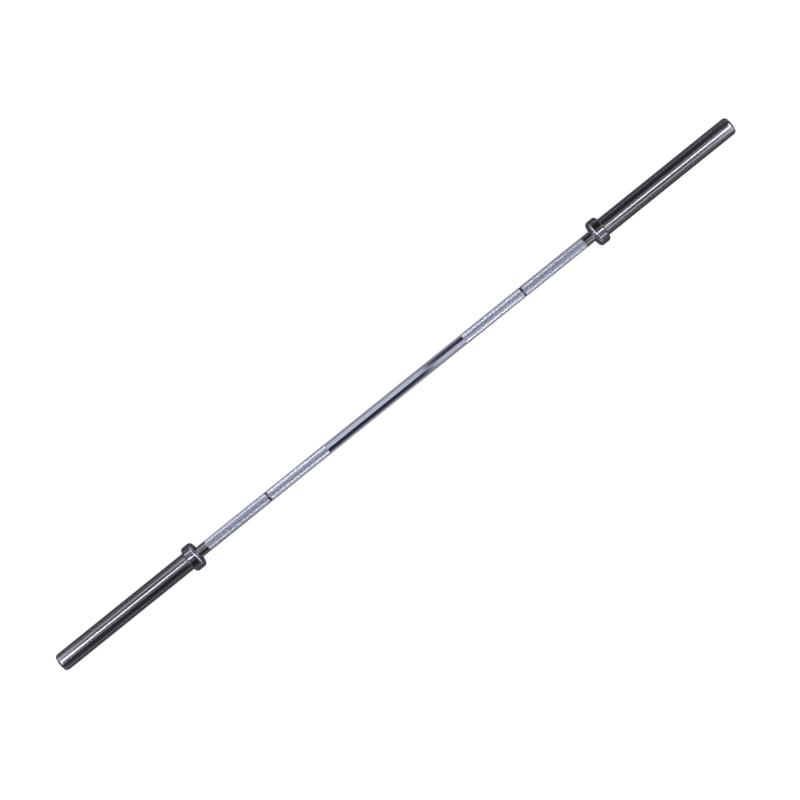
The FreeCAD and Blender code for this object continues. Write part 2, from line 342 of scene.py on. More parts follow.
# %% [markdown]
# The end caps are turned from bare aluminium, and the marks of the tool stay on their faces as
# fine rings. The metal is paler and softer in its shine than chrome.

# %% Turned aluminium of the end caps
turned_cap = Finish("cap_turned_aluminium", Metallic=1.0)
facing_rings = turned_cap.marks(pitch=0.7, detail=1.0)
cap_haze = turned_cap.mottle(size=10)
turned_cap.colour(cap_haze, (0.60, 0.60, 0.62), (0.68, 0.68, 0.69))
turned_cap.roughness(0.24 + facing_rings * 0.16 + cap_haze * 0.06)
turned_cap.relief(facing_rings, depth=0.03, strength=0.5)
print("finish:", turned_cap.material.name)

# %% [markdown]
# The small pieces inside the sleeve each have a plain workshop finish: bronze with a film of
# grease, zinc that clouds as it ages, black phosphate on the spring rings, and rubber for the seals.
# Most of them only show when the sleeve is taken apart, and they are finished all the same.

# %% Finishes of the inner pieces
bronze = Finish("bushing_bearing_bronze", Metallic=1.0, Coat_Roughness=0.25)
tarnish = bronze.mottle(size=8)
bore_marks = bronze.marks(pitch=0.5)
bronze.colour(tarnish.ramp(0.35, 0.75), (0.62, 0.41, 0.19), (0.42, 0.25, 0.11))
bronze.roughness(0.26 + tarnish * 0.16 + bore_marks * 0.08)
bronze.feed(bronze.shader.inputs["Coat Weight"], tarnish.ramp(0.3, 0.7) * 0.35)
bronze.relief(bore_marks, depth=0.02, strength=0.4)

zinc = Finish("washer_zinc", Metallic=1.0)
spangle = zinc.mottle(size=3)
zinc.colour(spangle.ramp(0.35, 0.7), (0.56, 0.56, 0.53), (0.44, 0.45, 0.48))
zinc.roughness(0.30 + spangle * 0.20)
zinc.relief(zinc.marks(pitch=0.6), depth=0.02, strength=0.3)

phosphate = Finish("ring_black_phosphate", Metallic=0.85)
crystals = phosphate.mottle(size=0.6)
phosphate.colour(crystals, (0.07, 0.07, 0.08), (0.16, 0.16, 0.17))
phosphate.roughness(0.42 + crystals * 0.22)
phosphate.relief(crystals, depth=0.01, strength=0.4)

rubber = Finish("seal_black_rubber", Specular_IOR_Level=0.35)
bloom = rubber.mottle(size=6)
rubber.colour(bloom.ramp(0.4, 0.8), (0.022, 0.022, 0.023), (0.060, 0.060, 0.062))
rubber.roughness(0.55 + bloom * 0.20)
rubber.relief(rubber.marks(pitch=0.9), depth=0.02, strength=0.4)
for inner in (bronze, zinc, phosphate, rubber):
    print("finish:", inner.material.name)

# %% [markdown]
# A turned piece is a section revolved about the bar. Real edges are never razor sharp, so each
# corner gets a small round that catches the light. Blender's own Spin would do, but building the
# rings by hand keeps the seam closed and lets a support ring sit beside every corner, which
# stops the round's shading from leaking along the whole bar.

# %% A lathe for sections
EDGE_STEPS = 4
ROUND_STEPS = 16
SMALL_EDGE = 1.0
SUPPORT_GAP = 0.35
SUPPORTED_SIDE = 4 * SUPPORT_GAP
EDGE_LIMIT = 0.45
ROUND_LIMIT = 0.85
CREASE = math.radians(32)


def bend(before, corner, after, radius):
    """Points of a true arc that rounds one corner of a section."""
    here = Vector(corner[:2])
    back = Vector(before[:2]) - here
    ahead = Vector(after[:2]) - here
    is_small = radius < SMALL_EDGE
    limit = EDGE_LIMIT if is_small else ROUND_LIMIT
    steps = EDGE_STEPS if is_small else ROUND_STEPS
    cut = min(radius, limit * back.length, limit * ahead.length)
    back.normalize()
    ahead.normalize()
    half = back.angle(ahead) / 2
    centre = here + (back + ahead).normalized() * cut / math.cos(half)
    first = here + back * cut - centre
    sweep = first.angle_signed(here + ahead * cut - centre)
    return [centre + Matrix.Rotation(-sweep * step / steps, 2) @ first for step in range(steps + 1)]


def soften(section, edge):
    """A closed section with its corners rounded and support points on its longer sides.
    A corner's third member is a round of its own. Corners on the axis stay."""
    rounded = []
    for number, corner in enumerate(section):
        radius = corner[2] if len(corner) > 2 else edge
        if corner[1] <= 0 or radius <= 0:
            rounded.append(Vector(corner[:2]))
        else:
            rounded += bend(section[number - 1], corner, section[(number + 1) % len(section)], radius)
    points = []
    for number, point in enumerate(rounded):
        side = rounded[(number + 1) % len(rounded)] - point
        points.append(point)
        if side.length > SUPPORTED_SIDE:
            points.append(point + side.normalized() * SUPPORT_GAP)
            points.append(point + side - side.normalized() * SUPPORT_GAP)
    return points


def turn(name, section, edge, segments, finish):
    """Revolve a section about the bar into a closed mesh with smooth faces and crisp corners."""
    corners, rings = [], []
    for x, radius in soften(section, edge):
        count = segments if radius > 0 else 1
        rings.append([len(corners) + step for step in range(count)])
        for step in range(count):
            angle = 2 * math.pi * step / segments
            corners.append((x * MM, radius * MM * math.sin(angle), radius * MM * math.cos(angle)))
    faces = []
    for here, ahead in zip(rings, rings[1:] + rings[:1]):
        for step in range(segments):
            face = [here[step % len(here)], here[(step + 1) % len(here)]]
            face += [ahead[(step + 1) % len(ahead)], ahead[step % len(ahead)]]
            face = list(dict.fromkeys(face))
            if len(face) > 2:
                faces.append(face)
    mesh = bpy.data.meshes.new(name)
    mesh.from_pydata(corners, [], faces)
    return settle(name, mesh, finish, True)


def settle(name, mesh, finish, smooth):
    """Give a finished mesh outward faces, its material and an object at the origin."""
    shell = bmesh.new()
    shell.from_mesh(mesh)
    bmesh.ops.recalc_face_normals(shell, faces=shell.faces)
    for face in shell.faces:
        face.smooth = smooth
    shell.to_mesh(mesh)
    shell.free()
    if smooth:
        mesh.set_sharp_from_angle(angle=CREASE)
    mesh.materials.clear()
    mesh.materials.append(finish.material)
    piece = bpy.data.objects.new(name, mesh)
    bpy.context.scene.collection.objects.link(piece)
    return piece


def other_end(piece, name):
    """The same piece at the left end: the right one turned half round the upright axis."""
    mesh = piece.data.copy()
    mesh.transform(Matrix.Rotation(math.pi, 4, "Z"))
    mesh.name = name
    twin = bpy.data.objects.new(name, mesh)
    bpy.context.scene.collection.objects.link(twin)
    return twin


# %% [markdown]
# The shaft is one long turning. Under each knurled band its surface is sunk a little below the
# grooves, so the knurling is the only surface that shows there. A narrow ring mark splits the
# knurling on each half, where lifters set their hands.

# %% The shaft
SHAFT_RADIUS = 15.0
JOURNAL_RADIUS = 13.0
RELIEF_RADIUS = 12.7
RELIEF_WIDTH = 1.6
SHAFT_GROOVE_RADIUS = 12.45
SHAFT_GROOVE_SLACK = 0.15
JOURNAL_CHAMFER = 1.0
CENTRE_HOLE_RADIUS = 3.15
CENTRE_HOLE_DEPTH = 5.4
SHAFT_EDGE = 0.25
SHOULDER_EDGE = 0.5
GRIP_SEGMENTS = 128
PLAIN_HALF = 223.0
KNURL_END = 619.0
RING_MARK_INNER = 415.0
RING_MARK_OUTER = 420.0
RING_MARK_RADIUS = 14.5
RING_MARK_SLOPE = 0.7
GROOVE_RADIUS = 14.93
SUNK_RADIUS = 14.82
SUNK_SLOPE = 0.5

shaft_half = [
    (PLAIN_HALF, SHAFT_RADIUS),
    (PLAIN_HALF + SUNK_SLOPE, SUNK_RADIUS),
    (RING_MARK_INNER, SUNK_RADIUS),
    (RING_MARK_INNER + RING_MARK_SLOPE, RING_MARK_RADIUS),
    (RING_MARK_OUTER - RING_MARK_SLOPE, RING_MARK_RADIUS),
    (RING_MARK_OUTER, SUNK_RADIUS),
    (KNURL_END - SUNK_SLOPE, SUNK_RADIUS),
    (KNURL_END, SHAFT_RADIUS),
    (shoulder, SHAFT_RADIUS, SHOULDER_EDGE),
    (shoulder, RELIEF_RADIUS),
    (shoulder + RELIEF_WIDTH, RELIEF_RADIUS),
    (shoulder + RELIEF_WIDTH, JOURNAL_RADIUS),
    (shaft_ring_face - SHAFT_GROOVE_SLACK, JOURNAL_RADIUS),
    (shaft_ring_face - SHAFT_GROOVE_SLACK, SHAFT_GROOVE_RADIUS),
    (shaft_ring_end, SHAFT_GROOVE_RADIUS),
    (shaft_ring_end, JOURNAL_RADIUS),
    (shaft_end, JOURNAL_RADIUS, JOURNAL_CHAMFER),
    (shaft_end, CENTRE_HOLE_RADIUS),
    (shaft_end - CENTRE_HOLE_DEPTH, 0),
]
shaft_section = [(-corner[0],) + corner[1:] for corner in reversed(shaft_half)] + shaft_half
shaft = turn("shaft_turned", shaft_section, SHAFT_EDGE, GRIP_SEGMENTS, bright)
print("shaft:", len(shaft.data.polygons), "faces")

# %% [markdown]
# Diamond knurling is two sets of spiral grooves that cross, and what stands between them is a
# field of small blunt diamonds. Drawing thirty thousand of them by hand is hopeless, and a bump
# map would leave the outline smooth. Geometry Nodes can do what the knurling wheel does: make one
# diamond, lay copies on two staggered grids as a flat sheet, roll the sheet round the shaft, and
# weld the seam. The open ends are then folded in to a hidden inner wall, so the band is closed.

# %% The knurling tree
knurl_tree = bpy.data.node_groups.new("knurled_band", "GeometryNodeTree")
KNURL_INPUTS = {
    "Start": "NodeSocketFloat", "Length": "NodeSocketFloat", "Groove radius": "NodeSocketFloat",
    "Depth": "NodeSocketFloat", "Rows": "NodeSocketInt", "Round": "NodeSocketInt",
    "Crest share": "NodeSocketFloat", "Run out": "NodeSocketFloat", "Wall": "NodeSocketFloat",
    "Finish": "NodeSocketMaterial",
}
for socket_name, socket_type in KNURL_INPUTS.items():
    knurl_tree.interface.new_socket(socket_name, in_out="INPUT", socket_type=socket_type)
knurl_tree.interface.new_socket("Geometry", in_out="OUTPUT", socket_type="NodeSocketGeometry")

knurl = Tree(knurl_tree)
given = knurl.node("NodeGroupInput")
start = given.output("Start")
length = given.output("Length")
groove = given.output("Groove radius")
rows = given.output("Rows")
round_count = given.output("Round")
half_long = length / (rows * 2)
half_wide = groove * math.pi / round_count


def joined(x=0.0, y=0.0, z=0.0):
    """Three values as one vector."""
    return knurl.node("ShaderNodeCombineXYZ", sockets={0: x, 1: y, 2: z})


# %% One blunt diamond, its foot open
flat = knurl.node("GeometryNodeMeshCircle", {"fill_type": "NGON"}, {"Vertices": 4, "Radius": 1.0})
raised = knurl.node(
    "GeometryNodeExtrudeMesh", {"mode": "FACES"}, {"Mesh": flat, "Offset Scale": 1.0},
)
blunt = knurl.node(
    "GeometryNodeScaleElements", {"domain": "FACE"},
    {"Geometry": raised, "Selection": raised.output("Top"), "Scale": given.output("Crest share")},
)
diamond = knurl.node(
    "GeometryNodeTransform", sockets={"Geometry": blunt, "Scale": joined(half_long, half_wide, 1.0)},
)


# %% A flat sheet of diamonds, on two staggered grids
def grid(row_count, sideways):
    """Points of one grid, in the middle of the band."""
    points = knurl.node(
        "GeometryNodeMeshGrid", sockets={
            "Size X": (row_count - 1) * half_long * 2, "Size Y": (round_count - 1) * half_wide * 2,
            "Vertices X": row_count, "Vertices Y": round_count,
        },
    )
    shift = joined(start + length / 2, sideways)
    return knurl.node("GeometryNodeTransform", sockets={"Geometry": points, "Translation": shift})


both_grids = [grid(rows, 0.0), grid(rows - 1, half_wide)]
stagger = knurl.node("GeometryNodeJoinGeometry", sockets={0: both_grids})
copies = knurl.node("GeometryNodeInstanceOnPoints", sockets={"Points": stagger, "Instance": diamond})
sheet = knurl.node("GeometryNodeRealizeInstances", sockets={0: copies})

# %% Roll the sheet round the shaft
WELD_DISTANCE = 0.004 * MM
spot = knurl.node("ShaderNodeSeparateXYZ", sockets={0: knurl.node("GeometryNodeInputPosition")})
height = spot.output("Z")
tagged = knurl.node(
    "GeometryNodeStoreNamedAttribute", {"data_type": "FLOAT", "domain": "POINT"},
    {"Geometry": sheet, "Name": KNURL_RISE_NAME, "Value": height},
)
run_out = given.output("Run out")
fade_in = ((spot - start) / run_out).math("MINIMUM", 1.0)
fade_out = ((start + length - spot) / run_out).math("MINIMUM", 1.0)
distance = groove + height * given.output("Depth") * fade_in * fade_out
angle = spot.output("Y") / groove
rolled = knurl.node(
    "GeometryNodeSetPosition", sockets={
        "Geometry": tagged,
        "Position": joined(spot, distance * angle.math("SINE"), distance * angle.math("COSINE")),
    },
)


def weld(mesh):
    """Join the points that lie on one another."""
    return knurl.node(
        "GeometryNodeMergeByDistance", sockets={"Geometry": mesh, "Distance": WELD_DISTANCE},
    )


welded = weld(rolled)

# %% Fold both ends in and close the band with an inner wall
RIM_FACES = 1.0
RIM_TOLERANCE = 0.5
middle = start + length / 2
is_far = spot.math("GREATER_THAN", middle)
neighbours = knurl.node("GeometryNodeInputMeshEdgeNeighbors")
is_rim = neighbours.math("COMPARE", RIM_FACES, RIM_TOLERANCE)


def fold(mesh, selection, position_x, shrink):
    """Draw the chosen edges out to a new ring, at another station and radius."""
    drawn = knurl.node(
        "GeometryNodeExtrudeMesh", {"mode": "EDGES"},
        {"Mesh": mesh, "Selection": selection, "Offset Scale": 0.0},
    )
    ring = joined(position_x, spot.output("Y") * shrink, spot.output("Z") * shrink)
    moved = knurl.node(
        "GeometryNodeSetPosition",
        sockets={"Geometry": drawn, "Selection": drawn.output("Top"), "Position": ring},
    )
    return moved, drawn.output("Top")


inset = start + half_long + is_far * (length - half_long * 2)
folded, inner_rims = fold(welded, is_rim, inset, 1 - given.output("Wall") / groove)
walled = fold(folded, inner_rims * (1 - is_far), start + length - half_long, 1.0)[0]
dressed = knurl.node(
    "GeometryNodeSetMaterial", sockets={"Geometry": weld(walled), "Material": given.output("Finish")},
)
knurl.node("NodeGroupOutput", sockets={"Geometry": dressed})
print("knurling tree:", len(knurl_tree.nodes), "nodes")

# %% [markdown]
# The tree is tried on four bands, two on each side of the plain centre, with the ring marks
# between them. Each band is turned into a plain mesh, because an export can't carry the tree.

# %% Four knurled bands
KNURL_PITCH = 1.95
KNURL_ROUND = 84
KNURL_CREST_SHARE = 0.24
KNURL_RUN_OUT = 1.7
KNURL_WALL = 0.5
BAND_INSET = 0.3
BANDS = {"inner": (PLAIN_HALF, RING_MARK_INNER), "outer": (RING_MARK_OUTER, KNURL_END)}


def knurled_band(name, first, last):
    """One closed band of knurling between two stations."""
    carrier = bpy.data.objects.new(name, bpy.data.meshes.new(name))
    bpy.context.scene.collection.objects.link(carrier)
    modifier = carrier.modifiers.new("knurling", "NODES")
    modifier.node_group = knurl_tree
    span = last - first - 2 * BAND_INSET
    sizes = {
        "Start": (first + BAND_INSET) * MM, "Length": span * MM, "Groove radius": GROOVE_RADIUS * MM,
        "Depth": (crest_radius - GROOVE_RADIUS) * MM, "Rows": round(span / KNURL_PITCH),
        "Round": KNURL_ROUND, "Crest share": KNURL_CREST_SHARE, "Run out": KNURL_RUN_OUT * MM,
        "Wall": KNURL_WALL * MM, "Finish": knurl_chrome.material,
    }
    for item in knurl_tree.interface.items_tree:
        if item.in_out == "INPUT":
            modifier[item.identifier] = sizes[item.name]
    depsgraph = bpy.context.evaluated_depsgraph_get()
    mesh = bpy.data.meshes.new_from_object(carrier.evaluated_get(depsgraph))
    carrier.modifiers.remove(modifier)
    bpy.data.objects.remove(carrier)
    return settle(name, mesh, knurl_chrome, False)


knurling = []
for band, (first, last) in BANDS.items():
    knurling.append(knurled_band("knurl_right_" + band, first, last))
    knurling.append(knurled_band("knurl_left_" + band, -last, -first))
for piece in knurling:
    print(piece.name, len(piece.data.polygons), "faces")

# %% [markdown]
# A sleeve is a thick tube. Outside it is plain, with a seat for the collar and a rounded nose
# that guides the plates on. Inside are the seats of the two bushings, and at the outer end a
# stepped recess for the cap and a groove for the ring that keeps it there.

# %% Sleeves
SLEEVE_SEGMENTS = 160
SLEEVE_EDGE = 0.2
COLLAR_SEAT_RADIUS = 24.5
SLEEVE_CHAMFER = 0.6
NOSE_LENGTH = 9.0
NOSE_BEND = 15.0
NOSE_STEPS = 12
CAP_SEAT_RADIUS = 20.6
CAP_GROOVE_RADIUS = 21.85
CAP_RING_SLACK = 0.15
MOUTH_RADIUS = 19.6
MOUTH_CHAMFER = 0.8
BORE_RADIUS = 18.0
FLANGE_THICKNESS = 3.0

nose_sweep = math.asin(NOSE_LENGTH / NOSE_BEND)
nose = []
for step in range(NOSE_STEPS):
    turned_by = nose_sweep * step / NOSE_STEPS
    drop = NOSE_BEND * (1 - math.cos(turned_by))
    nose.append((sleeve_end - NOSE_LENGTH + NOSE_BEND * math.sin(turned_by), sleeve_radius - drop, 0))
nose_tip = sleeve_radius - NOSE_BEND * (1 - math.cos(nose_sweep))
sleeve_section = [
    (sleeve_start, COLLAR_SEAT_RADIUS, SLEEVE_CHAMFER),
    (collar_end, COLLAR_SEAT_RADIUS),
    (collar_end, sleeve_radius),
    *nose,
    (sleeve_end, nose_tip),
    (sleeve_end, CAP_SEAT_RADIUS, MOUTH_CHAMFER),
    (cap_ring_end + CAP_RING_SLACK, CAP_SEAT_RADIUS),
    (cap_ring_end + CAP_RING_SLACK, CAP_GROOVE_RADIUS),
    (cap_face, CAP_GROOVE_RADIUS),
    (cap_face, CAP_SEAT_RADIUS),
    (cap_ledge, CAP_SEAT_RADIUS),
    (cap_ledge, MOUTH_RADIUS),
    (outer_flange_face - FLANGE_THICKNESS, MOUTH_RADIUS),
    (outer_flange_face - FLANGE_THICKNESS, BORE_RADIUS),
    (inner_flange_face + FLANGE_THICKNESS, BORE_RADIUS),
    (inner_flange_face + FLANGE_THICKNESS, MOUTH_RADIUS),
    (sleeve_start, MOUTH_RADIUS, MOUTH_CHAMFER),
]
right_sleeve = turn("sleeve_right", sleeve_section, SLEEVE_EDGE, SLEEVE_SEGMENTS, satin)
left_sleeve = other_end(right_sleeve, "sleeve_left")
print("sleeve:", len(right_sleeve.data.polygons), "faces")

# %% [markdown]
# The collar stops the plates. It is rounded on the side of the hands and bevelled on the side of
# the plates, and its polish shows both as thin bright rings. The ring on the round is also a painted
# highlight.

# %% Collars
COLLAR_SEGMENTS = 192
COLLAR_EDGE = 0.3
COLLAR_BORE = 24.52
COLLAR_BORE_CHAMFER = 0.6
COLLAR_ROUND = 9.0
COLLAR_BEVEL = 4.0
STOP_FACE_BORE = 25.2

collar_section = [
    (collar_start, COLLAR_BORE, COLLAR_BORE_CHAMFER),
    (collar_start, collar_radius, COLLAR_ROUND),
    (collar_end - COLLAR_BEVEL, collar_radius),
    (collar_end, collar_radius - COLLAR_BEVEL),
    (collar_end, STOP_FACE_BORE),
    (collar_end - (STOP_FACE_BORE - COLLAR_BORE), COLLAR_BORE),
]
right_collar = turn("collar_right", collar_section, COLLAR_EDGE, COLLAR_SEGMENTS, polished)
left_collar = other_end(right_collar, "collar_left")
print("collar:", len(right_collar.data.polygons), "faces")

# %% [markdown]
# The cap is a disc with a shallow dish, dropped into the recess and held by an eared ring, which
# is the CAD node itself. The seal is a rubber ring in the mouth of the sleeve, and only its front
# and the root of its lip can be seen, round the shaft beside the collar.

# %% End caps and dust seals
CAP_SEGMENTS = 128
CAP_EDGE = 0.4
CAP_DISH_RADIUS = 13.0
CAP_DISH_SLOPE = 1.0
CAP_DISH_DEPTH = 1.5
SEAL_SEGMENTS = 128
SEAL_EDGE = 0.2
SEAL_LIP_RADIUS = 15.1
SEAL_ROOT_RADIUS = 16.67
SEAL_BAND_RADIUS = 17.79
SEAL_BACK_RADIUS = 15.64
SEAL_WEB = 2.25
SEAL_TIP = 3.0
SEAL_BACK = 3.75

cap_section = [
    (cap_ledge, 0),
    (cap_ledge, cap_radius),
    (cap_face, cap_radius),
    (cap_face, CAP_DISH_RADIUS),
    (cap_face - CAP_DISH_DEPTH, CAP_DISH_RADIUS - CAP_DISH_SLOPE),
    (cap_face - CAP_DISH_DEPTH, 0),
]
right_cap = turn("end_cap_right", cap_section, CAP_EDGE, CAP_SEGMENTS, turned_cap)
left_cap = other_end(right_cap, "end_cap_left")
seal_section = [
    (seal_start, SEAL_ROOT_RADIUS),
    (seal_start, seal_radius),
    (seal_end, seal_radius),
    (seal_end, SEAL_BAND_RADIUS),
    (seal_start + SEAL_WEB, SEAL_BAND_RADIUS),
    (seal_start + SEAL_BACK, SEAL_BACK_RADIUS),
    (seal_start + SEAL_TIP, SEAL_LIP_RADIUS),
]
right_seal = turn("dust_seal_right", seal_section, SEAL_EDGE, SEAL_SEGMENTS, rubber)
left_seal = other_end(right_seal, "dust_seal_left")
print("end cap:", len(right_cap.data.polygons), "faces, dust seal:", len(right_seal.data.polygons))

# %% [markdown]
# Now each piece is tied to the frame: the shaft and its knurling to the bar, and everything
# turned for one end to that end's sleeve, so it spins with it. A piece that stands for a CAD node
# hides that node. The small inner nodes keep their CAD shape and only get a better finish.

# %% Tie the pieces to the frame
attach(shaft, "bar")
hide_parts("shaft")
for piece in knurling:
    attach(piece, "bar")
ENDS = {
    "left": (left_sleeve, left_collar, left_cap, left_seal),
    "right": (right_sleeve, right_collar, right_cap, right_seal),
}
STANDS_FOR = {
    "sleeve": "sleeve_chrome", "collar": "collar_chrome",
    "end_cap": "cap_aluminium", "dust_seal": "seal_rubber",
}
KEPT = {
    "inner_bushing": bronze, "outer_bushing": bronze, "inner_thrust_washer": zinc,
    "outer_thrust_washer": zinc, "shaft_ring": phosphate, "end_cap_ring": phosphate,
}
for end, pieces in ENDS.items():
    for piece, (node, slot) in zip(pieces, STANDS_FOR.items()):
        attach(piece, end + "_sleeve_assembly")
        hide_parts(end + "_" + node)
    for node, finish in KEPT.items():
        for material_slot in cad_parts[end + "_" + node].material_slots:
            material_slot.material = finish.material
new_pieces = [shaft, *knurling, *ENDS["left"], *ENDS["right"]]
print("pieces:", len(new_pieces), "new,", len(ENDS) * len(KEPT), "kept from the frame")

# %% [markdown]
# The bar lies on its collars on a white floor. The floor has to look white and still keep a
# shadow, so what the camera and the metal see of it is mostly its own white, and the rest is
# plain diffuse paper under the lamps.

# %% Floor
FLOOR_HALF = 60.0
FLOOR_GLOW = 0.86
PAPER = 0.16
PLAIN_PAPER = 0.8
floor_height = cad_box[0].z


def slab(name, x0, x1, y0, y1, z):
    """A flat sheet of the stage."""
    mesh = bpy.data.meshes.new(name)
    mesh.from_pydata([(x0, y0, z), (x1, y0, z), (x1, y1, z), (x0, y1, z)], [], [(0, 1, 2, 3)])
    sheet_object = bpy.data.objects.new(name, mesh)
    bpy.context.scene.collection.objects.link(sheet_object)
    sheet_object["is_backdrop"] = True
    return sheet_object


def seen_directly(tree):
    """1 for what the camera sees, also by way of metal and glass."""
    path = tree.node("ShaderNodeLightPath")
    rays = path + path.output("Is Glossy Ray") + path.output("Is Transmission Ray")
    return rays.math("MINIMUM", 1.0)


floor = slab("floor", -FLOOR_HALF, FLOOR_HALF, -FLOOR_HALF, FLOOR_HALF, floor_height)
floor_material = bpy.data.materials.new("floor_white_paper")
floor_material.use_nodes = True
floor_tree = Tree(floor_material.node_tree)
floor_tree.tree.nodes.clear()
paper = floor_tree.node("ShaderNodeBsdfDiffuse", sockets={"Color": (PAPER,) * 3 + (1,)})
glow = floor_tree.node("ShaderNodeEmission", sockets={"Strength": FLOOR_GLOW})
white = floor_tree.node("ShaderNodeAddShader", sockets={0: glow, 1: paper})
plain = floor_tree.node("ShaderNodeBsdfDiffuse", sockets={"Color": (PLAIN_PAPER,) * 3 + (1,)})
either = floor_tree.node(
    "ShaderNodeMixShader", sockets={0: seen_directly(floor_tree), 1: plain, 2: white},
)
floor_tree.node("ShaderNodeOutputMaterial", sockets={"Surface": either})
floor.data.materials.append(floor_material)
print("floor: %.1f mm under the bar's axis" % (-floor_height / MM))

# %% [markdown]
# Chrome shows its surroundings and little else, so lighting it means placing what it reflects.
# Every lamp but one is a flat panel along the bar. Each panel is given by the stretch of the bar
# that it spans, in metres, by two angles from the vertical between which the bar sees it, and by
# its radiance, which is the brightness that the chrome then shows.

# %% A flat lamp beside the bar
AREA_POWER = 4.0
PANEL_AWAY = 1.6
NEUTRAL = (1.0, 1.0, 1.0)
LAVENDER = (0.82, 0.84, 1.0)
BLUE_SHADE = (0.25, 0.35, 1.0)


def panel(name, side, span, angles, colour, radiance, away=PANEL_AWAY):
    """A flat lamp beside the bar, over a span of it and between two angles from the vertical."""
    low, high = (math.radians(angle) for angle in angles)
    middle_angle = (low + high) / 2
    lamp = bpy.data.lights.new(name, "AREA")
    lamp.shape = "RECTANGLE"
    lamp.size = abs(span[1] - span[0])
    lamp.size_y = 2 * away * math.tan((high - low) / 2)
    lamp.energy = AREA_POWER * lamp.size * lamp.size_y * radiance
    lamp.color = colour
    sideways = side * away * math.sin(middle_angle)
    holder = bpy.data.objects.new(name, lamp)
    holder.location = (sum(span) / 2, sideways, away * math.cos(middle_angle))
    holder.rotation_euler = (-side * middle_angle, 0, 0)
    holder.visible_camera = False
    bpy.context.scene.collection.objects.link(holder)


# %% [markdown]
# The left of the bar is lit from its far side and the right from its near side. The light changes
# side a little right of the middle. Over the grip a broad pale panel lights the shaft, a brighter
# rim runs along the top of it, and a faint blue panel fills the dark side.

# %% Lamps of the grip
SWITCH = 0.15
SWITCH_GAP = 0.012
RIM_REACH = 0.30
RING_REACH = 0.50
GRIP_REACH = 0.81
GRIP_RADIANCE = 0.66
SHADE_AWAY = 1.7


def light_grip(end, side, way):
    """Lamps that the plain shaft shows, on one half of the bar."""
    switch = SWITCH + way * SWITCH_GAP
    inner = (way * RING_REACH, switch)
    edge = (way * RING_REACH, way * GRIP_REACH)
    rim = (way * RIM_REACH, switch)
    shade = (way * GRIP_REACH, SWITCH)
    panel("grip_panel_" + end, side, inner, (3, 76), LAVENDER, GRIP_RADIANCE)
    panel("grip_edge_" + end, side, edge, (14, 76), LAVENDER, GRIP_RADIANCE)
    panel("grip_rim_" + end, side, rim, (-4, 3), LAVENDER, radiance=0.95)
    panel("grip_shade_" + end, -side, shade, (10, 80), BLUE_SHADE, radiance=0.03, away=SHADE_AWAY)


# %% [markdown]
# The knurling has lamps of its own: its facets are tilted along the bar, so they look far past its
# ends, where smooth chrome seen from above never looks. Facets that face the middle look past the
# other end, so a far lamp there serves them.

# %% Lamps of the knurling
FAR_REACH = 1.48
LINE_REACH = 1.70
BACK_REACH = 1.80
OUTER_REACH = 2.60
CROSS_NEAR = 4.6
CROSS_FAR = 8.0
CROSS_AWAY = 10.0
LINE_ANGLES = (3, 27)
FILL_ANGLES = (32, 76)
CROSS_ANGLES = (2, 18)


def light_knurling(end, side, way):
    """Lamps past the ends of the bar, for the facets of the knurling on one half."""
    line = (way * FAR_REACH, way * LINE_REACH)
    far_line = (way * LINE_REACH, way * OUTER_REACH)
    outer = (way * FAR_REACH, way * OUTER_REACH)
    back = (way * FAR_REACH, way * BACK_REACH)
    cross = (-way * CROSS_NEAR, -way * CROSS_FAR)
    panel("knurl_line_" + end, side, line, LINE_ANGLES, LAVENDER, radiance=2.8)
    panel("knurl_far_line_" + end, side, far_line, LINE_ANGLES, LAVENDER, radiance=1.6)
    panel("knurl_fill_" + end, side, outer, FILL_ANGLES, LAVENDER, radiance=0.8)
    panel("knurl_back_" + end, -side, back, FILL_ANGLES, LAVENDER, radiance=0.06)
    panel("knurl_cross_" + end, side, cross, CROSS_ANGLES, LAVENDER, radiance=4.4, away=CROSS_AWAY)


# %% [markdown]
# Over each end a narrow strip draws the thin white line along the sleeve, and a short strip does
# the same along the collar. Dim panels beside and above them grey both.

# %% Lamps of the collars and sleeves
COLLAR_LAMP_FROM = 0.875
COLLAR_LAMP_TO = 0.91
STRIP_AWAY = 1.5
COLLAR_PANEL_AWAY = 1.55
CROWN_AWAY = 1.4


def light_end(end, side, way):
    """Lamps that the collar and the sleeve of one end show."""
    by_collar = (way * COLLAR_LAMP_FROM, way * COLLAR_LAMP_TO)
    by_sleeve = (way * COLLAR_LAMP_TO, way * FAR_REACH)
    by_both = (way * GRIP_REACH, way * FAR_REACH)
    panel("collar_strip_" + end, side, by_collar, (4, 12), NEUTRAL, radiance=3.0, away=STRIP_AWAY)
    panel(
        "collar_panel_" + end, side, by_collar, (20, 72), LAVENDER,
        radiance=0.22, away=COLLAR_PANEL_AWAY,
    )
    panel("strip_" + end, side, by_sleeve, (9, 16), NEUTRAL, radiance=2.8, away=STRIP_AWAY)
    panel("sleeve_panel_" + end, side, by_both, (46, 66), NEUTRAL, radiance=0.40)
    panel("crown_" + end, side, by_both, (-24, 36), NEUTRAL, radiance=0.09, away=CROWN_AWAY)


for end, side, way in (("left", 1, -1), ("right", -1, 1)):
    light_grip(end, side, way)
    light_knurling(end, side, way)
    light_end(end, side, way)
print("panels:", len(bpy.data.lights))

# %% [markdown]
# A wide lamp from above lights the paper and the rubber, and the metal doesn't show it.

# %% Overhead lamp
SUN_STRENGTH = 2.75
SUN_SPREAD = math.radians(60)
sun = bpy.data.lights.new("overhead", "SUN")
sun.energy = SUN_STRENGTH
sun.angle = SUN_SPREAD
overhead = bpy.data.objects.new("overhead", sun)
overhead.visible_glossy = False
bpy.context.scene.collection.objects.link(overhead)
print("lights:", len(bpy.data.lights))

# %% [markdown]
# On a white floor bright chrome would lose its outline. A dark card under the bar, which only
# reflections see, keeps the edges dark. It is paler under the grip than under the ends.

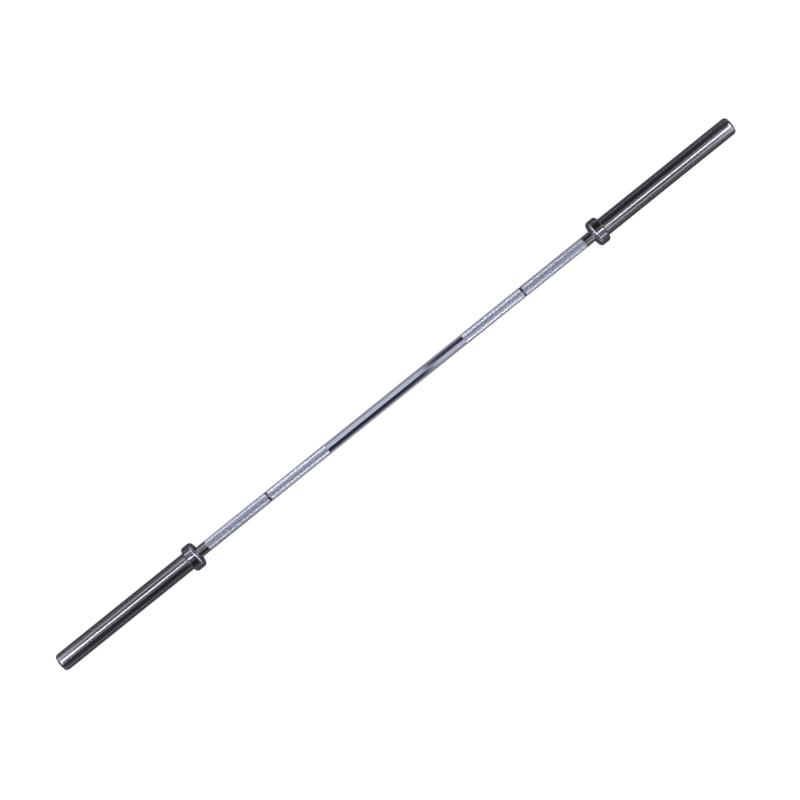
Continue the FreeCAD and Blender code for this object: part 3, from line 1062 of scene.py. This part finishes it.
# %% Dark card
CARD_HALF = 2.5
CARD_LIFT = 0.001
CARD_FADE_FROM = 0.35
CARD_FADE_TO = 0.54
CARD_ENDS = (0.089, 0.087, 0.103, 1)
CARD_GRIP = (0.43, 0.43, 0.49, 1)
card = slab("card", -FAR_REACH, FAR_REACH, -CARD_HALF, CARD_HALF, floor_height + CARD_LIFT)
card_material = bpy.data.materials.new("dark_card")
card_material.use_nodes = True
card_tree = Tree(card_material.node_tree)
card_tree.tree.nodes.clear()
card_place = card_tree.node("ShaderNodeTexCoord", output="Object")
card_x = card_tree.node("ShaderNodeSeparateXYZ", sockets={0: card_place})
card_fade = abs(card_x).ramp(CARD_FADE_FROM, CARD_FADE_TO)
card_shade = card_tree.blend(card_fade, CARD_GRIP, CARD_ENDS)
card_light = card_tree.node("ShaderNodeEmission", sockets={"Color": card_shade})
card_tree.node("ShaderNodeOutputMaterial", sockets={"Surface": card_light})
card.data.materials.append(card_material)
card.visible_camera = False
card.visible_diffuse = False
card.visible_shadow = False
card.visible_transmission = False
print("card: %.2f m long" % (2 * FAR_REACH))

# %% [markdown]
# The world is a dim studio, dark overhead and paler towards its walls, which rounds the chrome
# at its edges. Where the camera looks past the floor it is plain white.

# %% World
STUDIO_ROOF = (0.021, 0.020, 0.022, 1)
STUDIO_WALL = (0.144, 0.141, 0.152, 1)
WALL_FALL = 3
world = bpy.data.worlds.new("studio")
bpy.context.scene.world = world
world.use_nodes = True
studio = Tree(world.node_tree)
studio.tree.nodes.clear()
sky_path = studio.node("ShaderNodeLightPath")
towards = studio.node("ShaderNodeSeparateXYZ", sockets={0: studio.node("ShaderNodeTexCoord")})
level = (1 - towards.output("Z").math("MAXIMUM", 0.0)) ** WALL_FALL
dim = studio.node(
    "ShaderNodeBackground", sockets={"Color": studio.blend(level, STUDIO_ROOF, STUDIO_WALL)},
)
clear = studio.node("ShaderNodeBackground", sockets={"Color": (1, 1, 1, 1)})
sky = studio.node("ShaderNodeMixShader", sockets={0: sky_path, 1: dim, 2: clear})
studio.node("ShaderNodeOutputWorld", sockets={"Surface": sky})
scene = bpy.context.scene
scene.view_settings.view_transform = "Standard"
print("world:", world.name)

# %% [markdown]
# The photograph looks straight down on the bar, which crosses the picture from lower left to
# upper right. A long lens from far above keeps the sleeves nearly as thick at their ends.

# %% Camera
BAR_TILT = math.radians(38.84)
CAMERA_HEIGHT = 4.5
FRAME_WIDTH = 2.0502
SENSOR = 36.0
AIM_RIGHT = 0.0109
AIM_UP = -0.0149
right = Vector((math.cos(BAR_TILT), -math.sin(BAR_TILT), 0))
up = Vector((math.sin(BAR_TILT), math.cos(BAR_TILT), 0))
lens = bpy.data.cameras.new("camera")
lens.sensor_width = SENSOR
lens.lens = SENSOR * CAMERA_HEIGHT / FRAME_WIDTH
camera = bpy.data.objects.new("camera", lens)
camera.location = right * AIM_RIGHT + up * AIM_UP + Vector((0, 0, CAMERA_HEIGHT))
camera.rotation_euler = (0, 0, -BAR_TILT)
scene.collection.objects.link(camera)
scene.camera = camera
print("lens: %.1f mm" % lens.lens)

# %% [markdown]
# The dressed bar should be as large as its frame. Both boxes are kept and printed, so a slip shows.

# %% Sizes of the frame and of the dressed bar
boxes = {"cad": cad_box, "visual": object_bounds()}
for name, (low, high) in boxes.items():
    print(name, "box in mm:", [round(value / MM, 2) for value in high - low])
